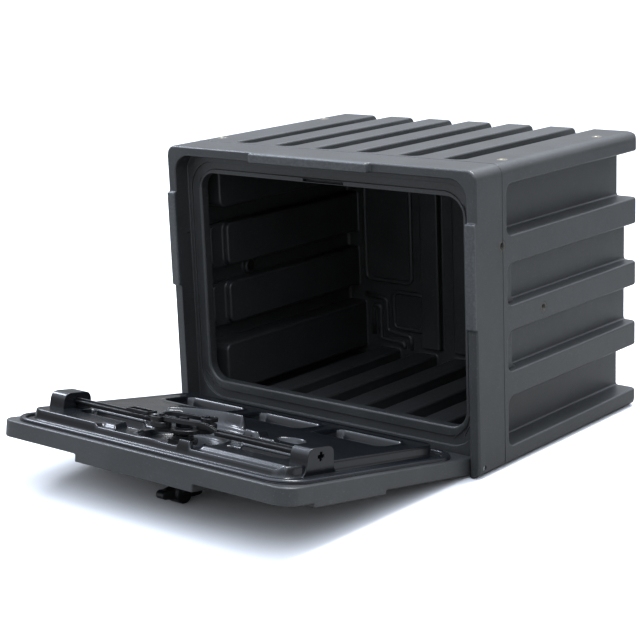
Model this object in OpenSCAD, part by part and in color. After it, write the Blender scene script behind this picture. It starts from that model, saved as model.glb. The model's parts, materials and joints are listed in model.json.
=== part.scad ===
// Moulded storage case with a drop-down front door and a two-rod latch.
// Frame: millimetres, +Z up, X across the front, +Y from front to back.
// The origin is on the floor, at the middle of the case's base.
// The door is drawn open, propped on its T-handle.

/* [Case] */
// Width across the front
case_w = 600; // [560:10:680]
// Height of the case
case_h = 450; // [450:10:480]
// Depth, front face to back
case_d = 450; // [420:10:600]
// Wall thickness of the moulded shell
wall = 5; // [4:0.5:5.5]

/* [Front frame] */
// Width of the frame posts beside the door
post_w = 17; // [15:1:18]
// Thickness of the lip above the door
lip_h = 15; // [13:1:16]
// How far the raised side bands stand out
band_proud = 6; // [3:1:8]
// How far the raised centre block stands out
block_proud = 11; // [8:1:12]

/* [Grooves] */
// Number of grooves along the top and the base
long_grooves = 6; // [4:2:6]
// Width of a top or base groove
long_groove_w = 36; // [28:2:40]
// Depth of a top or base groove
long_groove_depth = 22; // [14:1:24]

/* [Door] */
// Thickness of the door shell
door_t = 25; // [24:1:26]
// Gap between the door and each frame post
door_gap = 2; // [1.5:0.5:3]

/* [Latch] */
// Crank radius of the latch rotor
crank_r = 32; // [28:1:33]
// Radius of the rotor's crank pins
crank_pin_r = 4; // [3.5:0.5:4]
// Radius of the rounded end of the T-handle
handle_end_r = 15; // [13:1:16]

/* [Inserts] */
// Bore radius of the M10 threaded inserts
insert_bore_r = 4.25; // [3.4:0.05:4.3]
// Outer radius of the inserts
insert_r = 8.5; // [8:0.5:9]

/* [Hidden] */
$fn = 48;
eps = 0.01;
front_y = -case_d / 2;
back_y = case_d / 2;
half_w = case_w / 2;
shell_col = "#4b4f52";
liner_col = "#1b1d20";
black_col = "#161718";
steel_col = "#b9bcc0";
brass_col = "#c9b98a";
rubber_col = "#141414";

// Shell edges
edge_r = 16;
rear_r = 12;
groove_front = 78;
groove_r = 12;
long_pitch = 81.7;
// Side grooves: low edge, high edge, depth
side_grooves = [[30, 104, 38], [143, 203, 24], [242, 303, 24], [345, 419, 38]];
step_len = 28;
step_depth = 12;
// Back grooves: centres along X
back_groove_x = [-105, -35, 35, 105, 175];
back_groove_w = 30;
back_groove_depth = 12;
back_groove_z = [44, 406];

// Front recess that the door closes into, measured from the front face
land = 28;
channel_floor = 32;
bead_front = 29.5;
plate_back = 37;
bead_back = 46;
recess_half = half_w - post_w;
recess_top = case_h - lip_h;
recess_r = 28;
// Outlines round the opening: half width, low Z, high Z, corner radius
opening = [recess_half - 27, 62, recess_top - 30, 28];
bead = [recess_half - 21, 47, recess_top - 23, 40];
channel = [recess_half - 7, 33, recess_top - 11, 48];
band_z = [222, 375];
block_half = 115;
slot_half = 40;
slot_z = [opening[2] + 1.5, opening[2] + 6];
slot_depth = 8;

// Inserts
top_insert_x = half_w - 26;
top_insert_y = [front_y + 105, front_y + 365];
top_insert_len = 22;
// Side inserts: Y and Z of each
side_inserts_at = [[front_y + 64, 333], [front_y + 171, 222]];
side_insert_len = 14;
boss_wall = 4;

// Hinge line
hinge_y = front_y + 13;
hinge_z = 15;
pin_r = 4;
pin_bore_r = 4.1;
pin_len = 34;
bush_r = 6.5;
bush_len = 20;

// Door, in its own frame: X across, -Y from the hinge to the free edge, +Z inwards
door_half = recess_half - door_gap;
door_len = recess_top - hinge_z - 4;
half_t = door_t / 2;
door_skin = 5;
tray_half = door_half - 38;
tray_v = [42, door_len - 25];
door_r = 26;
band_v = [band_z[0] - hinge_z, band_z[1] - hinge_z];
panel_v = [62, door_len];
end_v = 40;
latch_v = 318;
dish_r = 48;
dish_depth = 8;

// Gasket loop: half width, near v, far v, corner radius, all on its centre line
gasket = [recess_half - 14, 25, door_len - 13, 40];
gasket_w = 9;
gasket_h = 6;

// Liner
flange = [door_half - 21, 34, door_len - 18.5, 30];
flange_t = 3;
pan = [door_half - 31, 50, door_len - 28, 22];
pan_top = 30;
liner_t = 3;
pocket_w = 124;
pocket_pitch = 154;
pocket_v = [82, 144];
pocket_floor = 13;
pocket_r = 12;
// Raised crescent behind the latch
crescent_r = 118;
crescent_t = 16;
crescent_top = 48;
crescent_ends = [-150, -82];
// Dish under the latch rotor
rotor_dish_r = 62;
rotor_dish_floor = 15;
// Guide blocks for the rods
block_u = [pan[0] - 30, pan[0]];
guide_half = 28;
guide_top = 53;
rod_w = 40;
rod_half = 5.5;
rod_web = 1.6;
guide_slack = 0.6;
trough_u = [74, 188];
trough_half = 17;
trough_floor = 14;
boss_top = 42;
boss_u = [64, 98];
boss_v = [latch_v - 76, latch_v - 46];
// Screws: places, radii, head height and length
screw_u = [-180, -60, 60, 180];
screw_v = [flange[1] + 4, flange[2] - 3.2];
screw_r = 1.8;
screw_head_r = 2.9;
screw_head_h = 1.8;
screw_len = 12;

// Latch train
spindle_r = 7;
housing_bore_r = 7.05;
housing_r = 15;
housing_lo = -half_t - block_proud + dish_depth - 4;
housing_hi = 26;
flange_r = 24;
nut_r = 22;
nut_t = 6;
rotor_lo = 30;
rotor_t = 6;
rotor_r = 24;
rotor_ear_r = 9;
arm_lo = 45;
arm_t = 5;
pin_top = 55;
clip_t = 1.5;
roller_r = 15;
roller_gap = 0.4;
spindle_top = 52;
rod_tip = pan[0] - 18;
eye_slack = 1.4;
eye_wall = 4;
crank_angle = 45;
pin_u = crank_r * sin(crank_angle);
riser_w = 10;
riser_u = 54;
arm_w = 9;
// Lattice plate: inner end, width, length, window pitch, window width, rim
lattice = [60, 20, 46, 10.5, 7.5, 3];
o_ring_w = 5;
o_ring_h = 3;
o_ring_t = 2;
washer_r = 13;
washer_t = 1.5;
rotor_nut_r = 12;
rotor_nut_t = 7;

// T-handle, and the door's tilt that just lets it touch the floor
handle_c = 56;
handle_t = 16;
wing_half = 40;
wing_t = 15;
wing_tip_r = 6.5;
wing_mid_r = 9;
hub_r = 12;
handle_neck = handle_c + housing_lo - 0.5;
cross_pin_r = 3;
cross_pin_w = -handle_c + 6;
floor_gap = 0.3;
reach = sqrt(pow(latch_v, 2) + pow(handle_c, 2));
tilt = atan2(handle_c, latch_v) + asin((handle_end_r + floor_gap - hinge_z) / reach);

// ---- Helpers ----

// Rectangle from corner a to corner b with round corners
module round_rect(a, b, r) {
    union() {
        translate([a[0] + r, a[1]]) square([b[0] - a[0] - 2 * r, b[1] - a[1]]);
        translate([a[0], a[1] + r]) square([b[0] - a[0], b[1] - a[1] - 2 * r]);
        for (x = [a[0] + r, b[0] - r], y = [a[1] + r, b[1] - r])
            translate([x, y]) circle(r);
    }
}

// Slab in the XZ plane, between two depths behind the front face
module xz_slab(from, to) {
    translate([0, front_y + to, 0])
        rotate([90, 0, 0])
            linear_extrude(to - from) children();
}

// Outline [half width, low, high, radius] as a 2D shape
module outline(o) {
    round_rect([-o[0], o[1]], [o[0], o[2]], o[3]);
}

// Places door parts: children are drawn with the door lying flat
module on_door() {
    translate([0, hinge_y, hinge_z])
        rotate([-tilt, 0, 0])
            children();
}

// The same outline on the door, where v runs along -Y
module door_outline(o) {
    round_rect([-o[0], -o[2]], [o[0], -o[1]], o[3]);
}

// Slab on the door between two heights
module door_slab(from, to) {
    translate([0, 0, from]) linear_extrude(to - from) children();
}

// Cylinder on the latch axis between two heights on the door
module latch_cyl(from, to, r) {
    translate([0, -latch_v, from]) cylinder(h = to - from, r = r);
}

// Cylinder along X, at a Y and Z
module x_cyl(from, to, y, z, r) {
    translate([from, y, z]) rotate([0, 90, 0]) cylinder(h = to - from, r = r);
}

// ---- Case ----

// Rounded body, shrunk by inset on every side
module body_form(inset) {
    w = half_w - inset;
    lo = inset;
    hi = case_h - inset;
    y0 = front_y;
    y1 = back_y - inset;
    re = edge_r - inset;
    rr = rear_r - inset;
    intersection() {
        translate([0, y1, 0]) rotate([90, 0, 0])
            linear_extrude(y1 - y0) round_rect([-w, lo], [w, hi], re);
        translate([-w, 0, 0]) rotate([90, 0, 90])
            linear_extrude(2 * w) union() {
                round_rect([y0, lo], [y1, hi], rr);
                translate([y0, lo]) square([2 * rr, hi - lo]);
            }
        translate([0, 0, lo]) linear_extrude(hi - lo) union() {
            round_rect([-w, y0], [w, y1], rr);
            translate([-w, y0]) square([2 * w, 2 * rr]);
        }
    }
}

// One groove run, open at the back: [a, b] across, depth inwards, grown by g
module groove_run(a, b, start, depth, g) {
    y0 = front_y + start - g;
    linear_extrude(depth + g + 1)
        union() {
            round_rect([a - g, y0], [b + g, back_y], groove_r);
            translate([a - g, 0]) square([b - a + 2 * g, back_y + 1]);
        }
}

// All outside grooves, grown by g for the inner wall
module grooves(g) {
    for (i = [0 : long_grooves - 1]) {
        x = (i - (long_grooves - 1) / 2) * long_pitch;
        for (top = [0, 1])
            translate([0, 0, top * case_h]) mirror([0, 0, top]) translate([0, 0, -1])
                groove_run(x - long_groove_w / 2, x + long_groove_w / 2, groove_front, long_groove_depth, g);
    }
    for (side = [0, 1], s = side_grooves)
        mirror([side, 0, 0]) translate([half_w + 1, 0, 0]) rotate([0, -90, 0])
            groove_run(s[0], s[1], groove_front + (s[2] < 30 ? step_len : 0), s[2], g);
    for (side = [0, 1], s = side_grooves)
        if (s[2] < 30)
            mirror([side, 0, 0]) translate([half_w + 1, 0, 0]) rotate([0, -90, 0])
                groove_run(s[0], s[1], groove_front, step_depth, g);
    for (x = back_groove_x)
        translate([x - back_groove_w / 2 - g, back_y - back_groove_depth - g, back_groove_z[0] - g])
            cube([back_groove_w + 2 * g, back_groove_depth + g + 1, back_groove_z[1] - back_groove_z[0] + 2 * g]);
}

// Front face relief: bands on the posts and the block on the lip
module face_relief() {
    for (side = [0, 1]) mirror([side, 0, 0])
        xz_slab(-band_proud, 1)
            translate([recess_half, band_z[0]]) square([post_w, band_z[1] - band_z[0]]);
    xz_slab(-block_proud, 1)
        translate([-block_half, recess_top]) square([2 * block_half, lip_h]);
}

// Pocket that the door closes into, open at the bottom
module door_recess() {
    xz_slab(-block_proud - 1, land)
        union() {
            round_rect([-recess_half, 0], [recess_half, recess_top], recess_r);
            translate([-recess_half, -1]) square([2 * recess_half, recess_top / 2]);
        }
}

// Cylinders at the inserts' places, longer inwards by extra
module insert_bosses(r, extra) {
    for (side = [-1, 1], y = top_insert_y)
        translate([side * top_insert_x, y, case_h - top_insert_len - extra])
            cylinder(h = top_insert_len + extra, r = r);
    for (side = [0, 1], p = side_inserts_at) mirror([side, 0, 0])
        x_cyl(half_w - side_insert_len - extra, half_w, p[0], p[1], r);
}

module case_shell() {
    color(shell_col)
    difference() {
        union() {
            body_form(0);
            face_relief();
        }
        grooves(0);
        difference() {
            intersection() {
                body_form(wall);
                translate([-half_w, front_y + plate_back, 0]) cube([case_w, case_d, case_h]);
            }
            grooves(wall);
            insert_bosses(insert_r + boss_wall, 0);
            xz_slab(plate_back - 1, bead_back) outline(bead);
        }
        door_recess();
        xz_slab(land - 1, channel_floor)
            difference() {
                outline(channel);
                outline(bead);
            }
        xz_slab(land - 1, bead_front) outline(bead);
        xz_slab(land - 1, bead_back + 1) outline(opening);
        xz_slab(land - 1, bead_front + slot_depth)
            translate([-slot_half, slot_z[0]]) square([2 * slot_half, slot_z[1] - slot_z[0]]);
        insert_bosses(insert_r, 1);
        x_cyl(-half_w - 1, half_w + 1, hinge_y, hinge_z, pin_r);
    }
}

// Threaded sleeve with a wide head ring, standing on Z
module insert(len) {
    difference() {
        cylinder(h = len, r = insert_r);
        translate([0, 0, 3]) cylinder(h = len, r = insert_bore_r);
    }
}

module case_top_inserts() {
    color(brass_col)
    for (side = [-1, 1], y = top_insert_y)
        translate([side * top_insert_x, y, case_h - top_insert_len])
            insert(top_insert_len);
}

module side_inserts(side) {
    for (p = side_inserts_at)
        translate([side * (half_w - side_insert_len), p[0], p[1]])
            rotate([0, side * 90, 0]) insert(side_insert_len);
}
module case_side_inserts_left() { color(brass_col) side_inserts(-1); }
module case_side_inserts_right() { color(brass_col) side_inserts(1); }

// ---- Hinges ----

module hinge_pin(side) {
    x = side > 0 ? half_w - 2 - pin_len : -half_w + 2;
    x_cyl(x, x + pin_len, hinge_y, hinge_z, pin_r);
}
module hinge_pin_left() { color(steel_col) hinge_pin(-1); }
module hinge_pin_right() { color(steel_col) hinge_pin(1); }

module hinge_bush(side) {
    x = side > 0 ? door_half - bush_len : -door_half;
    difference() {
        x_cyl(x, x + bush_len, 0, 0, bush_r);
        x_cyl(x - 1, x + bush_len + 1, 0, 0, pin_bore_r);
    }
}
module hinge_bush_left() { color(black_col) on_door() hinge_bush(-1); }
module hinge_bush_right() { color(black_col) on_door() hinge_bush(1); }

// ---- Door ----

module door_shell() {
    color(shell_col)
    on_door()
    difference() {
        union() {
            x_cyl(-door_half, door_half, 0, 0, half_t);
            difference() {
                door_slab(-half_t, half_t) door_outline([door_half, -end_v, door_len, door_r]);
                translate([-door_half - 1, 0, -half_t - 1]) cube([2 * door_half + 2, end_v + 1, door_t + 2]);
            }
            door_slab(-half_t - band_proud, 0)
                translate([-door_half, -band_v[1]]) square([2 * door_half, band_v[1] - band_v[0]]);
            door_slab(-half_t - block_proud, 0)
                translate([-block_half, -panel_v[1]]) square([2 * block_half, panel_v[1] - panel_v[0]]);
        }
        door_slab(-half_t + door_skin, half_t + 1)
            door_outline([tray_half, tray_v[0], tray_v[1], door_r]);
        latch_cyl(-half_t - block_proud - 1, -half_t - block_proud + dish_depth, dish_r);
        latch_cyl(-half_t - block_proud - 1, half_t, housing_r);
        for (side = [-1, 1])
            x_cyl(side > 0 ? door_half - bush_len : -door_half - 1,
                side > 0 ? door_half + 1 : -door_half + bush_len, 0, 0, bush_r);
        for (side = [-1, 1])
            x_cyl(side > 0 ? door_half - pin_len : -door_half,
                side > 0 ? door_half : -door_half + pin_len, 0, 0, pin_bore_r);
        screw_places() translate([0, 0, -screw_len]) cylinder(h = screw_len, r = screw_r);
    }
}

module door_gasket() {
    color(rubber_col)
    on_door()
    door_slab(half_t, half_t + gasket_h)
        difference() {
            door_outline([gasket[0] + gasket_w / 2, gasket[1] - gasket_w / 2,
                gasket[2] + gasket_w / 2, gasket[3] + gasket_w / 2]);
            door_outline([gasket[0] - gasket_w / 2, gasket[1] + gasket_w / 2,
                gasket[2] - gasket_w / 2, gasket[3] - gasket_w / 2]);
        }
}

// Four screws along each long edge of the liner's flange, with sunk heads
module screw_places() {
    for (x = screw_u, y = screw_v)
        translate([x, -y, half_t + flange_t]) children();
}
module liner_screws() {
    color(steel_col)
    on_door()
    screw_places() union() {
        translate([0, 0, -screw_head_h]) cylinder(h = screw_head_h, r = screw_head_r);
        translate([0, 0, -screw_len]) cylinder(h = screw_len, r = screw_r);
    }
}

// 2D places of the three storage pockets, grown by g
module pockets_2d(g) {
    for (i = [-1, 0, 1])
        round_rect([i * pocket_pitch - pocket_w / 2 - g, -pocket_v[1] - g],
            [i * pocket_pitch + pocket_w / 2 + g, -pocket_v[0] + g], pocket_r + g);
}

// 2D places of the troughs under the rods, grown by g
module troughs_2d(g) {
    for (side = [0, 1]) mirror([side, 0])
        round_rect([trough_u[0] - g, -latch_v - trough_half - g],
            [trough_u[1] + g, -latch_v + trough_half + g], 8 + g);
}

// Ring sector on the latch axis, used for the raised crescent
module crescent_2d(g) {
    translate([0, -latch_v]) intersection() {
        difference() {
            circle(crescent_r + g, $fn = 96);
            circle(crescent_r - crescent_t - g, $fn = 96);
        }
        polygon([[0, 0],
            for (i = [0 : 6]) let (a = crescent_ends[0] + (crescent_ends[1] - crescent_ends[0]) * i / 6)
                2 * crescent_r * [cos(a), -sin(a)]]);
    }
}

// Stepped bosses beside the latch
module bosses_2d() {
    for (side = [0, 1]) mirror([side, 0])
        translate([boss_u[0], -boss_v[1]]) square([boss_u[1] - boss_u[0], boss_v[1] - boss_v[0]]);
}

// Plus-shaped rod section grown by s, in the YZ plane about the rod axis
module plus_2d(s) {
    union() {
        translate([-rod_half - s, -rod_web - s]) square([2 * rod_half + 2 * s, 2 * rod_web + 2 * s]);
        translate([-rod_web - s, -rod_half - s]) square([2 * rod_web + 2 * s, 2 * rod_half + 2 * s]);
    }
}

// Plus-shaped bar along X on the door
module plus_bar(from, to, s) {
    translate([from, -latch_v, rod_w]) rotate([90, 0, 90])
        linear_extrude(to - from) plus_2d(s);
}

module door_liner() {
    color(liner_col)
    on_door()
    difference() {
        union() {
            difference() {
                union() {
                    door_slab(half_t, half_t + flange_t) door_outline(flange);
                    door_slab(half_t, pan_top) door_outline(pan);
                    door_slab(pan_top - 1, crescent_top) crescent_2d(0);
                    door_slab(pan_top - 1, boss_top) bosses_2d();
                    for (side = [0, 1]) mirror([side, 0, 0])
                        door_slab(half_t, guide_top)
                            translate([block_u[0], -latch_v - guide_half])
                                square([block_u[1] - block_u[0], 2 * guide_half]);
                }
                door_slab(half_t - 1, pan_top - liner_t)
                    door_outline([pan[0] - liner_t, pan[1] + liner_t, pan[2] - liner_t, pan[3] - liner_t]);
                door_slab(half_t, crescent_top - liner_t) crescent_2d(-liner_t);
            }
            door_slab(pocket_floor - liner_t, pan_top) pockets_2d(liner_t);
            door_slab(trough_floor - liner_t, pan_top) troughs_2d(liner_t);
            latch_cyl(rotor_dish_floor - liner_t, pan_top, rotor_dish_r + liner_t);
            for (side = [0, 1]) mirror([side, 0, 0])
                door_slab(half_t, guide_top - liner_t)
                    translate([block_u[0], -latch_v - guide_half])
                        square([block_u[1] - block_u[0], 2 * guide_half]);
        }
        door_slab(pocket_floor, pan_top + 1) pockets_2d(0);
        door_slab(trough_floor, pan_top + 1) troughs_2d(0);
        latch_cyl(rotor_dish_floor, crescent_top + 1, rotor_dish_r);
        latch_cyl(0, pan_top, housing_r + 0.5);
        plus_bar(-pan[0] - 1, -block_u[0] + 1, guide_slack);
        plus_bar(block_u[0] - 1, pan[0] + 1, guide_slack);
        screw_places() translate([0, 0, -screw_len]) cylinder(h = screw_len, r = screw_r);
        screw_places() translate([0, 0, -screw_head_h]) cylinder(h = screw_head_h + 1, r = screw_head_r);
    }
}

// ---- Latch ----

// Flanged barrel that carries the spindle through the door
module latch_housing() {
    color(black_col)
    on_door()
    difference() {
        union() {
            latch_cyl(housing_lo, housing_hi, housing_r);
            latch_cyl(housing_lo, housing_lo + 3, flange_r);
        }
        latch_cyl(-60, 60, housing_bore_r);
        latch_cyl(o_ring_w - o_ring_h / 2, o_ring_w + o_ring_h / 2, housing_bore_r + o_ring_t);
    }
}

module spindle_o_ring() {
    color(rubber_col)
    on_door()
    difference() {
        latch_cyl(o_ring_w - o_ring_h / 2, o_ring_w + o_ring_h / 2, housing_bore_r + o_ring_t);
        latch_cyl(-60, 60, housing_bore_r);
    }
}

// Rubber washer between the housing's flange and the door
module housing_seal() {
    color(rubber_col)
    on_door()
    difference() {
        latch_cyl(housing_lo + 3, housing_lo + 4, flange_r);
        latch_cyl(-60, 60, housing_r);
    }
}

// Hexagonal nut that clamps the housing inside the liner's dish
module housing_nut() {
    color(black_col)
    on_door()
    difference() {
        translate([0, -latch_v, rotor_dish_floor]) cylinder(h = nut_t, r = nut_r, $fn = 6);
        latch_cyl(0, 60, housing_r);
    }
}

module handle_spindle() {
    color(steel_col)
    on_door()
    difference() {
        latch_cyl(-handle_c, spindle_top, spindle_r);
        cross_pin_cyl(0);
    }
}

module cross_pin_cyl(extra) {
    x_cyl(-handle_t / 2 - extra, handle_t / 2 + extra, -latch_v, cross_pin_w, cross_pin_r);
}
module handle_cross_pin() {
    color(steel_col)
    on_door()
    cross_pin_cyl(0);
}

// Flat wing handle, in the plane of the spindle: a hub with a round end and two wings
module handle_2d() {
    union() {
        circle(handle_end_r);
        translate([-hub_r, 0]) square([2 * hub_r, handle_neck]);
        hull() {
            for (side = [-1, 1])
                translate([side * (wing_half - wing_tip_r), -1]) circle(wing_tip_r, $fn = 32);
            translate([0, wing_t - wing_mid_r]) circle(wing_mid_r, $fn = 32);
            circle(wing_mid_r, $fn = 32);
        }
    }
}
module t_handle() {
    color(black_col)
    on_door()
    difference() {
        union() {
            translate([-handle_t / 2, -latch_v, -handle_c]) rotate([90, 0, 90])
                linear_extrude(handle_t) handle_2d();
            latch_cyl(-handle_c, -handle_c + handle_neck, hub_r);
        }
        latch_cyl(-handle_c, 0, spindle_r);
        cross_pin_cyl(1);
    }
}

// Crank plate on the spindle's inner end
module latch_rotor() {
    color(black_col)
    on_door()
    difference() {
        union() {
            latch_cyl(rotor_lo, rotor_lo + rotor_t, rotor_r);
            for (side = [-1, 1])
                hull() {
                    crank_place(side) translate([0, 0, rotor_lo]) cylinder(h = rotor_t, r = rotor_ear_r, $fn = 32);
                    latch_cyl(rotor_lo, rotor_lo + rotor_t, rotor_r / 2);
                }
        }
        latch_cyl(0, 60, spindle_r);
        for (side = [-1, 1])
            crank_place(side) translate([0, 0, rotor_lo - 1]) cylinder(h = rotor_t + 2, r = crank_pin_r);
    }
}

// The right rod's pin (side 1) is towards the free edge, the left rod's towards the hinge
module crank_place(side) {
    translate([-side * pin_u, -latch_v - side * pin_u, 0]) children();
}

module crank_pins() {
    color(steel_col)
    on_door()
    for (side = [-1, 1])
        crank_place(side) translate([0, 0, rotor_lo]) cylinder(h = pin_top - rotor_lo, r = crank_pin_r);
}

// Sleeves on the crank pins that carry the rod arms clear of the rotor
module crank_rollers() {
    color(black_col)
    on_door()
    for (side = [-1, 1])
        crank_place(side) translate([0, 0, rotor_lo + rotor_t])
            difference() {
                cylinder(h = arm_lo - rotor_lo - rotor_t - roller_gap, r = roller_r);
                translate([0, 0, -1]) cylinder(h = arm_lo, r = crank_pin_r);
            }
}

module crank_pin_clips() {
    color(steel_col)
    on_door()
    for (side = [-1, 1])
        crank_place(side) translate([0, 0, arm_lo + arm_t + 1])
            difference() {
                cylinder(h = clip_t, r = crank_pin_r + 3);
                translate([0, 0, -1]) cylinder(h = clip_t + 2, r = crank_pin_r);
            }
}

module rotor_washer() {
    color(steel_col)
    on_door()
    difference() {
        latch_cyl(rotor_lo + rotor_t, rotor_lo + rotor_t + washer_t, washer_r);
        latch_cyl(0, 60, spindle_r);
    }
}

module rotor_nut() {
    color(steel_col)
    on_door()
    difference() {
        translate([0, -latch_v, rotor_lo + rotor_t + washer_t])
            cylinder(h = rotor_nut_t, r = rotor_nut_r, $fn = 6);
        latch_cyl(0, 60, spindle_r);
    }
}

// Slotted eye round the right crank pin's path, grown by g
module eye_2d(g) {
    r = crank_pin_r + eye_slack + g;
    translate([-pin_u, -latch_v])
        union() {
            for (v = [pin_u, crank_r]) translate([0, -v]) circle(r);
            translate([-r, -crank_r]) square([2 * r, crank_r - pin_u]);
        }
}

// Latch rod for the right: plus-shaped bar, a riser, and an arm to its slotted eye
module latch_rod() {
    difference() {
        union() {
            plus_bar(riser_u, rod_tip, 0);
            door_slab(rod_w - rod_half, arm_lo + arm_t)
                translate([riser_u, -latch_v - rod_half]) square([riser_w, 2 * rod_half]);
            door_slab(arm_lo, arm_lo + arm_t) union() {
                eye_2d(eye_wall);
                translate([-pin_u, -latch_v - pin_u - arm_w]) square([riser_u + pin_u, arm_w]);
                translate([riser_u, -latch_v - pin_u - arm_w]) square([riser_w, pin_u + arm_w + rod_half]);
            }
        }
        door_slab(arm_lo - 1, arm_lo + arm_t + 1) eye_2d(0);
    }
}

module right_latch_rod() { color(black_col) on_door() latch_rod(); }

// The left rod is the right one turned half a turn about the latch axis, with a lattice plate
module left_latch_rod() {
    color(black_col)
    on_door()
    difference() {
        union() {
            translate([0, -2 * latch_v, 0]) mirror([1, 0, 0]) mirror([0, 1, 0]) latch_rod();
            door_slab(arm_lo, arm_lo + arm_t)
                translate([-lattice[0] - lattice[2], -latch_v - lattice[1] / 2]) square([lattice[2], lattice[1]]);
        }
        for (i = [0 : 3])
            door_slab(arm_lo - 1, arm_lo + arm_t + 1)
                translate([-lattice[0] - 10 - lattice[3] * i, -latch_v - lattice[1] / 2 + lattice[5]])
                    square([lattice[4], lattice[1] - 2 * lattice[5]]);
    }
}

case_shell();
case_top_inserts();
case_side_inserts_left();
case_side_inserts_right();
hinge_pin_left();
hinge_pin_right();
hinge_bush_left();
hinge_bush_right();
door_shell();
door_liner();
door_gasket();
liner_screws();
latch_housing();
housing_seal();
housing_nut();
spindle_o_ring();
t_handle();
handle_spindle();
handle_cross_pin();
latch_rotor();
rotor_washer();
rotor_nut();
crank_pins();
crank_rollers();
crank_pin_clips();
right_latch_rod();
left_latch_rod();
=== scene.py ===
import bpy
import bmesh
import json
import math
import numpy as np
from mathutils import Matrix, Vector
from mathutils.geometry import delaunay_2d_cdt


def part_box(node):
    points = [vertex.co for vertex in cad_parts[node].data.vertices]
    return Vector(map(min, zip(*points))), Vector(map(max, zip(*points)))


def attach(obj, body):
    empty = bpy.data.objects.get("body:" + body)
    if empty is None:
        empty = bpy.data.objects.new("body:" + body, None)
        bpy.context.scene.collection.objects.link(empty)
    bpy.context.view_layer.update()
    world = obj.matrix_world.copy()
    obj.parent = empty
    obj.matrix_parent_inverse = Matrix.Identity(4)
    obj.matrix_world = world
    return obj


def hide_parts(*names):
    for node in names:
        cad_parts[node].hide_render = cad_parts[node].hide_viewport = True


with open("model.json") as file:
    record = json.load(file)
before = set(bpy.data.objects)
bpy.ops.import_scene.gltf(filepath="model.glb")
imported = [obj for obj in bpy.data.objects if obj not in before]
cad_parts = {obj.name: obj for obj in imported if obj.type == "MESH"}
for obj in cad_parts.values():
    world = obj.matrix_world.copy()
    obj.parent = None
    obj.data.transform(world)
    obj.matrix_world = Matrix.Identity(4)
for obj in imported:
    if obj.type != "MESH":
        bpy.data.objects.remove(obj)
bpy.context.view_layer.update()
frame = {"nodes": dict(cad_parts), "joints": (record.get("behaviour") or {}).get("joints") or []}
joints = {j["name"]: j for j in frame["joints"]}

MM = 0.001
HINGE = Vector(joints["door_hinge"]["pos_m"])
TILT = math.radians(90 - joints["door_hinge"]["range_deg"][1])
# Door coordinates are millimetres: u across, v from the hinge to the free edge, w inwards
DOOR = Matrix.Translation(HINGE) @ Matrix.Rotation(-TILT, 4, "X") @ Matrix.Diagonal((MM, -MM, MM, 1))
LATCH_V = 318


# Depth over which the scuffs and painted highlight on the case front fade in
SCUFF_AND_HIGHLIGHT_FADE = 0.0015


# ---- Colour and node helpers ----

def srgb(code):
    """Linear colour of an sRGB hex code."""
    out = []
    for i in (1, 3, 5):
        c = int(code[i:i + 2], 16) / 255
        out.append(c / 12.92 if c <= 0.04045 else ((c + 0.055) / 1.055) ** 2.4)
    return (*out, 1.0)


def add(tree, kind, inputs=None, **props):
    """One node with its properties and inputs; an input given as a socket is linked."""
    node = tree.nodes.new(kind)
    for k, v in props.items():
        setattr(node, k, v)
    for k, v in (inputs or {}).items():
        if isinstance(v, bpy.types.NodeSocket):
            tree.links.new(v, node.inputs[k])
        else:
            node.inputs[k].default_value = v
    return node


def material(name):
    """(material, tree, principled node) with an empty principled shader."""
    mat = bpy.data.materials.new(name)
    mat.use_nodes = True
    tree = mat.node_tree
    tree.nodes.clear()
    out = add(tree, "ShaderNodeOutputMaterial")
    pri = add(tree, "ShaderNodeBsdfPrincipled")
    tree.links.new(pri.outputs[0], out.inputs[0])
    return mat, tree, pri


def noise(tree, coord, scale, detail=3.0, rough=0.5):
    """A noise node; its scale is in cells to the metre."""
    return add(tree, "ShaderNodeTexNoise",
               {"Vector": coord, "Scale": scale, "Detail": detail, "Roughness": rough})


def remap(tree, value, lo, hi, to_lo, to_hi):
    """A value moved from one range to another, held at its ends."""
    return add(tree, "ShaderNodeMapRange", {"Value": value, "From Min": lo, "From Max": hi,
                                            "To Min": to_lo, "To Max": to_hi}).outputs[0]


def mix(tree, fac, a, b):
    """Colour a turned into colour b by fac."""
    return add(tree, "ShaderNodeMix", {0: fac, 6: a, 7: b}, data_type="RGBA").outputs[2]


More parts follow.
